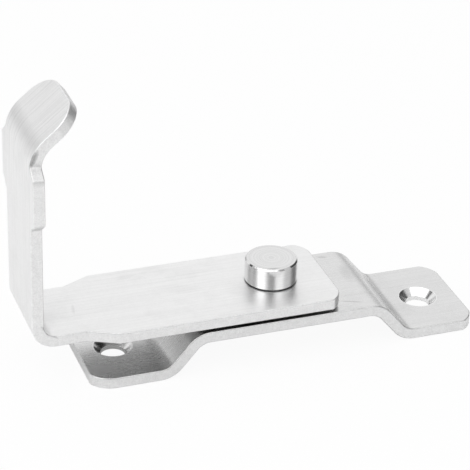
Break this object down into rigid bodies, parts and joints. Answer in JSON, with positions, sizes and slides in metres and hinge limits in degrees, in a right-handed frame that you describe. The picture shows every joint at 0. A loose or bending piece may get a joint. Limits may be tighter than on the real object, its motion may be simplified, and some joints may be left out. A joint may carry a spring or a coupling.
{
  "type": "swing-arm door latch",
  "caption": "Flat arm with an upright flared hook, pivoting on a riveted pin over a joggled base strip that has countersunk screw holes at its ends.",
  "frame": {"origin": "middle of the line between the screw holes, on the mounting surface under the feet", "axes": "+X along the base strip, away from the hook; +Z away from the mounting surface; +Y across the strip"},
  "size_m": [0.1198, 0.03, 0.0768],
  "materials": {
    "base_strip": "satin stainless with a fine grain along the strip and frosted cut edges",
    "arm_strip": "satin stainless with a fine grain along the strip and frosted cut edges",
    "turned_pin": "bright turned stainless with fine turning rings on the head",
    "washer": "plain flat stainless"
  },
  "bodies": {
    "base": {"base_bracket": "base_strip", "pivot_pin": "turned_pin", "friction_washer": "washer"},
    "arm": {"swing_arm": "arm_strip"}
  },
  "joints": [
    {"name": "arm_swing", "type": "hinge", "parent": "base", "child": "arm", "pos_m": [0, 0, 0.0145], "axis": [0, 0, 1], "continuous": true}
  ]
}
